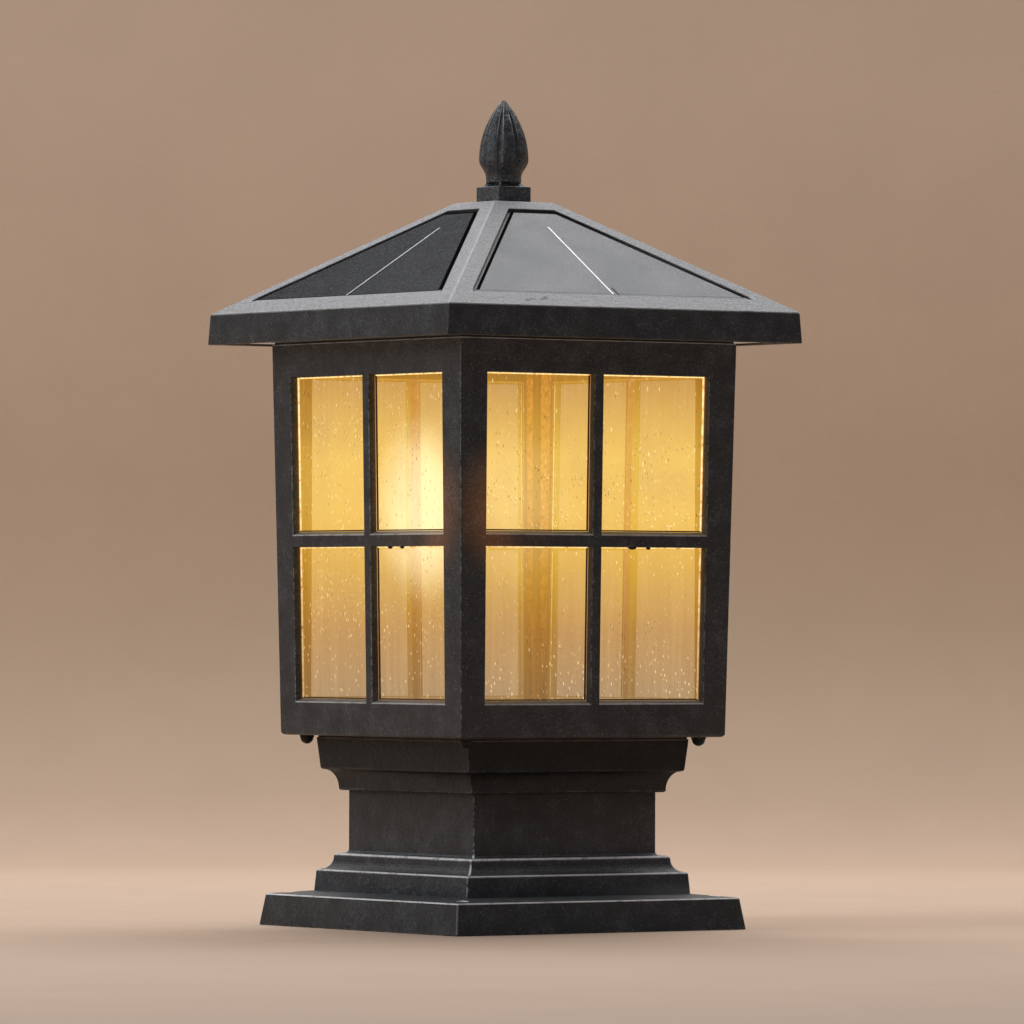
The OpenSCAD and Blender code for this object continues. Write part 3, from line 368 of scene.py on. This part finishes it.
def plain(name, colour, rough, metal=0.0, scale=300, depth=0.00004, vary=0.2, glow=None, strength=0.0):
    """A moulded, rolled or turned surface with fine unevenness in colour, gloss and height."""
    g = Graph(name)
    fine = g.noise(scale, 3, 0.6)
    dull = tuple(c * (1 - vary) for c in colour)
    base = g.mix(fine, (*dull, 1), (*colour, 1))
    normal = g.bump(fine, depth)
    shader = g.node("BsdfPrincipled", Base_Color=base, Metallic=metal,
                    Roughness=g.steps(fine, 0.3, 0.7, rough * 0.85, min(1, rough * 1.15)), Normal=normal)
    if glow:
        g.put(shader.inputs["Emission Color"], (*glow, 1))
        g.put(shader.inputs["Emission Strength"], strength)
    return g.finish(shader.outputs[0])


def rolled(name, colour, rough):
    """Zinc-plated sheet or bar: a crystal pattern and fine drawn lines."""
    g = Graph(name)
    lines = g.noise(220, 3, 0.6, g.stretch((1, 1, 0.08)))
    spangle = g.cells(120, output="Color")
    tone = g.mix(g.times(lines, 0.5), (*colour, 1), grey(0.35))
    base = g.mix(0.12, tone, spangle, "MULTIPLY")
    shader = g.node("BsdfPrincipled", Base_Color=base, Metallic=1.0,
                    Roughness=g.steps(lines, 0.3, 0.7, rough - 0.08, rough + 0.1),
                    Normal=g.bump(lines, 0.00003))
    return g.finish(shader.outputs[0])


# Shares of the shader that shines and glows. The rest lets light through.
GLASS_SHARE = 0.3
CLEAR_SHARE = 0.03


def amber_face(name, shift, hot):
    """Lit seeded glass: brightest at the hot spot, dull at the foot, with seeds, streaks and cloudy film."""
    g = Graph(name)
    x, y, z = g.axes()
    height = g.steps(z, 0.16, 0.395, 0, 1, False)
    body = g.ramp(height, [
        (0.0, (0.20, 0.112, 0.040)), (0.22, (0.29, 0.138, 0.020)), (0.42, (0.44, 0.235, 0.018)),
        (0.58, (0.54, 0.315, 0.040)), (0.74, (0.55, 0.328, 0.044)), (1.0, (0.31, 0.140, 0.010))])
    across = g.math("MINIMUM", g.size(x), g.size(y))
    between = g.times(g.steps(across, 0.0036, 0.0044), g.steps(across, 0.0952, 0.0940))
    shaded = g.ramp(height, [
        (0.0, (0.045, 0.016, 0.010)), (0.55, (0.25, 0.062, 0.034)), (1.0, (0.20, 0.050, 0.020))])
    body = g.mix(between, shaded, body)
    near = g.steps(distance_to(g, HOT), 0.082, 0.036)
    body = g.mix(g.times(near, hot), body, HOT_WHITE)
    streak = g.noise(210, 2, 0.5, g.stretch((1, 1, 0.05), place=(shift, 0, 0)))
    cloud = g.noise(19, 3, 0.55, g.stretch((1, 1, 0.7), place=(shift, 0, 0)))
    body = g.mix(g.steps(streak, 0.40, 0.72, 0, 0.12), body, (0.62, 0.40, 0.12, 1))
    body = g.mix(g.steps(cloud, 0.45, 0.72, 0, 0.28), body, (0.27, 0.155, 0.045, 1))

    def seeds(scale, tall, size, share, slide):
        coords = g.stretch((1, 1, tall), place=(shift + slide[0], slide[0], slide[1]))
        dots = g.steps(g.cells(scale, coords), size, size * 0.55)
        chosen = g.steps(g.cells(scale, coords, output="Color"), share, share + 0.02)
        return g.times(dots, chosen)

    small_low, small_high = (seeds(420, 0.40, 0.26, 0.54, m) for m in ((0, 0), (0.0004, 0.0004)))
    large_low, large_high = (seeds(190, 0.34, 0.14, 0.72, m) for m in ((0, 0), (0.0006, 0.0008)))
    # Each seed gets a painted highlight on one side and a painted shade on the other.
    small_side = g.math("SUBTRACT", small_low, small_high)
    large_side = g.math("SUBTRACT", large_low, large_high)
    bright = g.math("MAXIMUM", small_side, large_side)
    dark = g.math("MAXIMUM", g.times(small_side, -1.0), g.times(large_side, -1.0))
    patch = g.steps(g.noise(27, 2, 0.5, g.stretch((1, 1, 1), place=(shift, 0, 0))), 0.38, 0.58, 0.3, 1)
    body = g.mix(g.times(g.math("MAXIMUM", bright, 0), g.times(patch, 0.6)), body, (1.0, 0.76, 0.38, 1))
    body = g.mix(g.times(g.math("MAXIMUM", dark, 0), g.times(patch, 0.75)), body, (0.12, 0.05, 0.008, 1))
    normal = g.bump(g.plus(g.plus(small_low, large_low), g.noise(60, 2, 0.5)), 0.0004)
    glass = g.node("BsdfPrincipled", Base_Color=(0.05, 0.025, 0.006, 1), Roughness=0.08, Normal=normal)
    g.put(glass.inputs["Emission Color"], body)
    g.put(glass.inputs["Emission Strength"], 1 / GLASS_SHARE)
    clear = g.node("BsdfTransparent", Color=(0.79, 0.88, 0.99, 1))
    return g.finish(g.mix_shaders(GLASS_SHARE, clear, glass))


def clear_side():
    """The panes' inner face and edges, almost clear."""
    g = Graph("amber_glass_clear")
    clear = g.node("BsdfTransparent", Color=(0.98, 0.97, 0.96, 1))
    rough = g.steps(g.noise(80), 0.3, 0.7, 0.06, 0.12)
    glass = g.node("BsdfPrincipled", Base_Color=(0.5, 0.3, 0.1, 1), Roughness=rough)
    return g.finish(g.mix_shaders(CLEAR_SHARE, clear, glass))


def bead_glow():
    """The clear bead round each light, which leads the lamp's light along its edge."""
    g = Graph("edge_bead")
    tone = g.ramp(g.noise(240, 3, 0.65), [(0.32, (0.22, 0.09, 0.015)), (0.42, (0.8, 0.5, 0.16)),
                                          (0.6, (1.0, 0.80, 0.40))])
    shader = g.node("BsdfPrincipled", Base_Color=(0.6, 0.4, 0.15, 1), Roughness=0.3, Emission_Color=tone,
                    Emission_Strength=g.steps(g.axes()[2], 0.16, 0.33, 0.45, 1.15))
    return g.finish(shader.outputs[0])


def solar(name, tone, cloudiness, shine, marks=()):
    """Dark cells under a satin cover glass, with grain, cloudy film and specks."""
    g = Graph(name)
    cloud = g.noise(22, 4, 0.6, warp=0.4)
    fine = g.noise(1400, 2, 0.6)
    base = g.mix(g.steps(cloud, 0.35, 0.7, 0, cloudiness), (*tone, 1), (0.16, 0.17, 0.19, 1))
    speck = g.steps(g.cells(330), 0.12, 0.05)
    chosen = g.steps(g.noise(90), 0.58, 0.66)
    base = g.mix(g.times(g.times(speck, chosen), 0.7), base, (0.55, 0.56, 0.6, 1))
    grain = g.steps(g.noise(620, 3, 0.75), 0.50, 0.64, 0, 0.45)
    base = g.mix(grain, base, (0.2, 0.205, 0.215, 1))
    foot = g.steps(g.axes()[2], *(z * MM for z in PANEL_FOOT_Z))
    edge = g.mark("arris")
    # Painted highlight: the rounded edge at the panel's foot is painted pale.
    base = g.mix(g.times(g.steps(edge, 0.7, 0.8), foot), base, grey(0.5))
    # Painted shade along the panel's top and side edges, where the recess's walls shade it; the scratches
    # are dark marks of their own.
    dark = g.times(g.steps(edge, 0.2, 0.3), g.rest(foot))
    for start, end, width in marks:
        dark = g.math("MAXIMUM", dark, mark_along(g, start, end, width))
    base = g.mix(dark, base, GAP_SHADE)
    rough = g.steps(g.plus(g.times(cloud, 0.6), g.times(fine, 0.4)), 0.3, 0.7, 0.2, 0.36)
    shader = g.node("BsdfPrincipled", Base_Color=base, Roughness=rough, Normal=g.bump(fine, 0.00008),
                    Specular_IOR_Level=g.math("MULTIPLY_ADD", dark, -shine, shine))
    return g.finish(shader.outputs[0])


def soffit():
    """Galvanised sheet, with lamp light leaking in a broken line at its outer edge."""
    g = Graph("soffit")
    lines = g.noise(220, 3, 0.6)
    base = g.mix(lines, (0.42, 0.43, 0.44, 1), (0.55, 0.56, 0.57, 1))
    side = g.steps(g.size(g.slope()), 0.5, 0.3)
    corner = g.steps(distance_to(g, EAVE_CORNER), 0.16, 0.02, 0.2, 1.0)
    broken = g.steps(g.noise(70, 3, 0.6), 0.46, 0.58)
    leak = g.times(g.times(g.times(side, corner), broken), 2.5)
    rough = g.steps(lines, 0.3, 0.7, 0.34, 0.5)
    shader = g.node("BsdfPrincipled", Base_Color=base, Metallic=1.0, Roughness=rough,
                    Normal=g.bump(lines, 0.00003), Emission_Color=(1.0, 0.62, 0.27, 1),
                    Emission_Strength=leak)
    return g.finish(shader.outputs[0])


def cad_copy(node, name, material):
    """A copy of a CAD node's mesh under a new name and with one material."""
    piece = NODES[node].copy()
    piece.data = NODES[node].data.copy()
    piece.name = name
    piece.parent = None
    piece.matrix_world = Matrix.Identity(4)
    bpy.context.scene.collection.objects.link(piece)
    piece.data.materials.clear()
    piece.data.materials.append(material)
    return piece


WELD = 1e-6                         # vertices nearer than this are one, in metres
FLAT_ANGLE = math.radians(0.4)      # faces that turn less than this are joined
FINE_ANGLE = math.radians(4)        # the least turn between the facets of a rounded edge
SHADE_ANGLE = math.radians(50)      # edges that turn more than this are shaded sharp


def mark_facets(bm, layer, narrow):
    """Marks the convex facets under a width as arrises."""
    for face in bm.faces:
        one, two = sorted(face.edges, key=lambda edge: edge.calc_length())[-2:]
        thin = face.calc_area() < narrow * MM * two.calc_length()
        if thin and min(one.calc_face_angle_signed(0), two.calc_face_angle_signed(0)) > FINE_ANGLE:
            face[layer] = 1.0


def mark_rim(bm, layer, rim):
    """Marks a band of this width round the largest upper face, half as strongly as an arris."""
    upper = (face for face in bm.faces if face.normal.z > 0.5)
    top = max(upper, key=lambda face: face.calc_area())
    band = bmesh.ops.inset_region(bm, faces=[top], thickness=rim * MM, use_even_offset=True)
    for face in band["faces"]:
        face[layer] = 0.5


def softened(node, name, material, width, sharp=28.0, rim=0.0, narrow=0.0):
    """A copy of a CAD node with its convex arrises rounded, and those roundings marked for wear and a
    painted highlight.

    rim marks a band round the largest upper face too, and narrow the facets of the source's own rounded
    edges. All widths are in millimetres."""
    piece = cad_copy(node, name, material)
    bm = bmesh.new()
    bm.from_mesh(piece.data)
    bmesh.ops.remove_doubles(bm, verts=bm.verts, dist=WELD)
    bmesh.ops.dissolve_limit(bm, angle_limit=FLAT_ANGLE, verts=bm.verts, edges=bm.edges)
    bm.normal_update()
    arris = bm.faces.layers.float.new("arris")
    mark_facets(bm, arris, narrow)
    limit = math.radians(sharp)
    convex = [e for e in bm.edges if len(e.link_faces) == 2 and e.calc_face_angle_signed() > limit]
    made = bmesh.ops.bevel(bm, geom=convex, offset=width * MM, offset_type="OFFSET", segments=2,
                           profile=0.5, affect="EDGES", clamp_overlap=False)
    for face in made["faces"]:
        face[arris] = 1.0
    if rim:
        mark_rim(bm, arris, rim)
    for face in bm.faces:
        face.smooth = True
    bm.to_mesh(piece.data)
    bm.free()
    piece.data.set_sharp_from_angle(angle=SHADE_ANGLE)
    even = piece.modifiers.new("even", "WEIGHTED_NORMAL")
    even.keep_sharp = True
    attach(piece, OBJECT_BODY)
    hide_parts(node)
    return piece


SIDES = {"front": 0, "right": 1, "back": 2, "left": 3}


def turned(side, u, depth, z):
    """A point on a side: u along it, depth out from the lantern's middle, in millimetres."""
    x, y = ((u, -depth), (depth, u), (-u, depth), (-depth, -u))[side]
    return Vector((x * MM, y * MM, z * MM))


# How strongly the hot spot shows on each side, and how far each side's pattern is slid
HOT_SHARE = {"left": 0.85, "front": 0.2, "right": 0.05, "back": 0.05}
PATTERN_SHIFT = 0.37


def make_panes(clear_material):
    """The four panes: the CAD glass with eased edges. The outer face is the lit, seeded one."""
    for word, side in SIDES.items():
        node = "pane_" + word
        out = turned(side, 0, 1000, 0)
        glass = amber_face("amber_glass_" + word, PATTERN_SHIFT * side, HOT_SHARE[word])
        pane = softened(node, "lit_" + node, glass, width=0.4)
        pane.data.materials.append(clear_material)
        for face in pane.data.polygons:
            face.material_index = 0 if face.normal.dot(out) > 0.9 else 1


DULL_EDGES = (0, 3)    # a light's foot and its edge at the mullion, where the bead catches no light
BEAD = 0.9             # a bead's width and height, in millimetres
BEAD_GAP = 0.02        # its distance from the glass, in millimetres


def bead_round(bm, side, hand, low, high):
    """The bead of one light, between two heights and on one side of the mullion."""
    corners = ((MULLION_HALF, low, 1, 1), (window_half(low), low, -1, 1),
               (window_half(high), high, -1, -1), (MULLION_HALF, high, 1, -1))
    profile = ((0, 0), (0, BEAD), (BEAD * 0.6, BEAD), (BEAD, BEAD * 0.4), (BEAD, 0))
    rings = []
    for inset, lift in profile:
        ring = []
        for u, z, du, dz in corners:
            depth = cage_face(z) - WALL - SEAL + lift + BEAD_GAP
            place = turned(side, hand * (u + du * inset), depth, z + dz * inset)
            ring.append(bm.verts.new(place))
        rings.append(ring)
    for step, (one, two) in enumerate(zip(rings, rings[1:] + rings[:1])):
        for i in range(4):
            j = (i + 1) % 4
            face = bm.faces.new((one[i], one[j], two[j], two[i]))
            on_glass = step == len(rings) - 1
            face.material_index = 1 if on_glass or i in DULL_EDGES else 0


def make_beads(material, back_material):
    """A thin bead on the glass along the four edges of every light, dark where it lies on the glass."""
    bm = bmesh.new()
    for side in SIDES.values():
        for low, high in ((WINDOW_LOW_Z + LEDGE, TRANSOM_Z), (TRANSOM_TOP_Z + LEDGE, WINDOW_TOP_Z)):
            for hand in (-1, 1):
                bead_round(bm, side, hand, low, high)
    bmesh.ops.recalc_face_normals(bm, faces=bm.faces)
    beads = place_piece(bm, "edge_beads", material)
    beads.data.materials.append(back_material)


# Side, place along it and half width of each drip, in millimetres, and half a drip's height
DRIPS = ((0, 32.4, 3.0), (0, 46.3, 1.6), (3, 24.8, 1.8), (3, 39.9, 1.6))
DRIP_HALF_H = 1.5


def make_drips(material):
    """Small runs of coat that hang from the transoms' lower edge."""
    bm = bmesh.new()
    for side, u, half in DRIPS:
        depth = cage_face(TRANSOM_Z) - WALL / 2
        scale = Matrix.Diagonal((half * MM, half * MM, DRIP_HALF_H * MM, 1))
        place = Matrix.Translation(turned(side, u, depth, TRANSOM_Z - 0.2))
        bmesh.ops.create_icosphere(bm, subdivisions=3, radius=1, matrix=place @ scale)
    place_piece(bm, "coat_drips", material, smooth=True)


def place_piece(bm, name, material, smooth=False):
    mesh = bpy.data.meshes.new(name)
    for face in bm.faces:
        face.smooth = smooth
    bm.to_mesh(mesh)
    bm.free()
    mesh.materials.append(material)
    piece = bpy.data.objects.new(name, mesh)
    bpy.context.scene.collection.objects.link(piece)
    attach(piece, OBJECT_BODY)
    return piece


def dress(material, *names):
    for name in names:
        for slot in NODES[name].material_slots:
            slot.material = material


def make_spring(material):
    """The switch's spring, copied with a mesh of its own. The spring shortens towards its fixed upper end as
    the button is pressed; this script does not shorten it.
    """
    spring = cad_copy("button_spring", "switch_spring", material)
    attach(spring, OBJECT_BODY)
    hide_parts("button_spring")
    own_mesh(spring)


def make_stage():
    """A pale floor that rises in a soft curve to a low wall behind the lantern."""
    g = Graph("stage_paper")
    paper = g.noise(9, 4, 0.6)
    # The paper is painted darker up the curve and at the wall's foot, lighter on the floor and higher up:
    # painted shade.
    tone = g.ramp(g.axes()[2], [(0.0, (0.72, 0.525, 0.39)), (0.06, (0.62, 0.455, 0.33)),
                                (0.22, (0.555, 0.405, 0.285)), (0.70, (0.66, 0.505, 0.38))])
    base = g.mix(g.steps(paper, 0.3, 0.7, 0, 0.5), tone, grey(1.07), "MULTIPLY")
    shader = g.node("BsdfPrincipled", Base_Color=base, Roughness=0.9, Normal=g.bump(g.noise(260, 3), 0.0002))
    material = g.finish(shader.outputs[0])
    back = Vector((math.sin(AZIMUTH), math.cos(AZIMUTH), 0))
    side = Vector((math.cos(AZIMUTH), -math.sin(AZIMUTH), 0))
    near, bend, bend_r, rise, wide = -8.0, 1.35, 0.35, 1.1, 6.0
    outline = [(near, 0)]
    for step in range(13):
        turn = math.radians(90 * step / 12)
        outline.append((bend + bend_r * math.sin(turn), bend_r - bend_r * math.cos(turn)))
    outline.append((bend + bend_r, rise))
    bm = bmesh.new()
    rows = []
    for along, z in outline:
        rows.append([bm.verts.new(back * along + side * u + Vector((0, 0, z))) for u in (-wide, wide)])
    for low, high in zip(rows, rows[1:]):
        face = bm.faces.new((low[0], low[1], high[1], high[0]))
        face.smooth = True
    mesh = bpy.data.meshes.new("stage")
    bm.to_mesh(mesh)
    mesh.materials.append(material)
    stage = bpy.data.objects.new("stage", mesh)
    bpy.context.scene.collection.objects.link(stage)


CENTRE = (0, 0, 0.3)


def lamp(name, place, size, power, colour=(1, 1, 1)):
    data = bpy.data.lights.new(name, "AREA")
    data.shape = "RECTANGLE"
    data.size, data.size_y = size
    data.energy = power
    data.color = colour
    made = bpy.data.objects.new(name, data)
    made.location = place
    made.rotation_mode = "QUATERNION"
    made.rotation_quaternion = (Vector(CENTRE) - Vector(place)).to_track_quat("-Z", "Y")
    bpy.context.scene.collection.objects.link(made)


def from_lantern(azimuth, elevation, distance):
    """A place seen from the lantern at a compass angle from the camera's far side, positive to the right."""
    a, e = AZIMUTH + math.radians(azimuth), math.radians(elevation)
    return (math.sin(a) * math.cos(e) * distance, math.cos(a) * math.cos(e) * distance,
            CENTRE[2] + math.sin(e) * distance)


def make_lights():
    lamp("top_back_softbox", from_lantern(10, 58, 3.0), (3.6, 1.9), 75)
    lamp("left_softbox", from_lantern(-112, 26, 3.4), (1.5, 1.9), 42, (0.92, 0.96, 1.0))
    world = bpy.data.worlds.new("room")
    world.use_nodes = True
    background = world.node_tree.nodes["Background"]
    background.inputs["Color"].default_value = (0.9, 0.92, 1.0, 1)
    background.inputs["Strength"].default_value = 0.22
    bpy.context.scene.world = world
    bpy.context.scene.view_settings.view_transform = "Standard"


ROOF_MARKS = (    # a scratch and four chips at the foot of the front slope
    ((4.3, -127.2, 452.6), (4.5, -136.6, 447.4), 0.9),
    ((-82.6, -146.1, 441.4), (-80.4, -145.8, 441.6), 1.5),
    ((-77.4, -144.7, 442.3), (-75.0, -144.6, 442.4), 1.1),
    ((-68.6, -144.3, 442.5), (-66.0, -144.0, 442.8), 1.3),
    ((-64.3, -143.0, 443.4), (-63.0, -142.2, 443.9), 1.7),
)
SCRATCH = ROOF_MARKS[:1]


def make_castings():
    """The black coated pieces. The pedestal's coat is painted darker towards its neck, a painted shade under
    the cage, and its coat is given back.
    """
    pedestal = coat("coat_pedestal", dust_and_sheen=0.2, painted_shade_heights=(0.06, 0.118), wear_and_highlight_tone=0.85)
    cage = coat("coat_cage", dust_and_sheen=0.36, wear=0.8, glow=cage_glow, wear_and_highlight_tone=0.6)
    roof = coat("coat_roof", dust_and_sheen=0.85, wear=0.35, marks=ROOF_MARKS, wear_and_highlight_tone=0.75, painted_shade_rim=recess_rim)
    finial = coat("coat_finial", tone=0.038, grain=1.6, wear=0.6, hammered=1.6, gloss=(0.22, 0.38))
    softened("pedestal", "pedestal_casting", pedestal, width=0.9, narrow=1.2)
    softened("cage_frame", "cage_casting", cage, width=0.7)
    softened("roof_shell", "roof_casting", roof, width=0.9)
    softened("finial", "finial_casting", finial, width=0.4)
    softened("dome_nuts", "dome_nut_set", pedestal, width=0.2, sharp=40)
    return pedestal


def make_panels():
    """The four solar panels: the left one is a shaded copy, painted dark, and dull, and the front one has a
    scratch.
    """
    # The left panel's cells are a shaded copy of the others: painted darker and less cloudy, as painted
    # shade.
    dark = solar("solar_cells_shaded_copy", (0.010, 0.011, 0.013), 0.04, 0.02)
    pale = solar("solar_cells_cloudy", (0.04, 0.042, 0.05), 0.3, 0.2)
    scratched = solar("solar_cells_scratched", (0.04, 0.042, 0.05), 0.3, 0.2, SCRATCH)
    for word, cells in (("front", scratched), ("right", pale), ("back", pale), ("left", dark)):
        softened("panel_" + word, "cells_panel_" + word, cells, width=0.9, rim=1.3)


make_camera()
make_stage()
make_lights()
pedestal_coat = make_castings()
make_panes(clear_side())
make_beads(bead_glow(), plain("bead_back", (0.05, 0.02, 0.008), 0.7))
make_drips(pedestal_coat)
make_panels()

ZINC = (0.62, 0.63, 0.64)
dress(plain("rubber", (0.03, 0.03, 0.03), 0.8), "neck_gasket", "eave_gasket", "grommet")
dress(plain("lit_seal", (0.03, 0.025, 0.02), 0.8, glow=(1.0, 0.36, 0.06), strength=0.12), "pane_seals")
dress(plain("wire_sleeve", (0.40, 0.05, 0.04), 0.35), "lead_wires")
dress(rolled("zinc", ZINC, 0.32), "neck_bolts", "neck_washers", "neck_nuts",
      "glazing_strips_low", "glazing_strips_top", "strip_screws", "rod_washers", "rod_nuts",
      "finial_bolt", "finial_washer", "light_screws", "battery_contacts", "inner_screws", "switch_nut")
make_spring(rolled("spring_wire", ZINC, 0.3))
dress(soffit(), "roof_pan")
# The tie rods are painted brown and glow orange: painted lamp light from the glass.
dress(plain("rod_painted_lamp_light", (0.12, 0.05, 0.02), 0.6, 0.5, glow=(1.0, 0.35, 0.05), strength=0.14),
      "tie_rods")
dress(plain("silver_line", (0.72, 0.72, 0.72), 0.45, 0.6), "panel_ribbons")
dress(plain("foam", (0.05, 0.05, 0.05), 0.9, scale=900), "panel_pads")
dress(plain("opal", (0.93, 0.88, 0.76), 0.4, glow=(1.0, 0.72, 0.36), strength=1.2), "opal_cover")
dress(plain("white_board", (0.86, 0.86, 0.84), 0.35), "light_board")
dress(plain("phosphor", (0.95, 0.8, 0.3), 0.5, glow=(1.0, 0.8, 0.42), strength=2.0), "light_chips")
dress(plain("black_plastic", (0.04, 0.04, 0.042), 0.5, scale=500),
      "battery_tray", "control_parts", "switch_body")
dress(plain("cell_wrap", (0.1, 0.3, 0.5), 0.25), "battery_cells")
dress(plain("brass", (0.72, 0.58, 0.3), 0.3, 1.0), "board_spacers")
dress(plain("green_board", (0.05, 0.28, 0.13), 0.4), "control_board")
dress(plain("red_plastic", (0.45, 0.06, 0.05), 0.5), "button")
dress(coat("coat_screws"), "roof_screws")
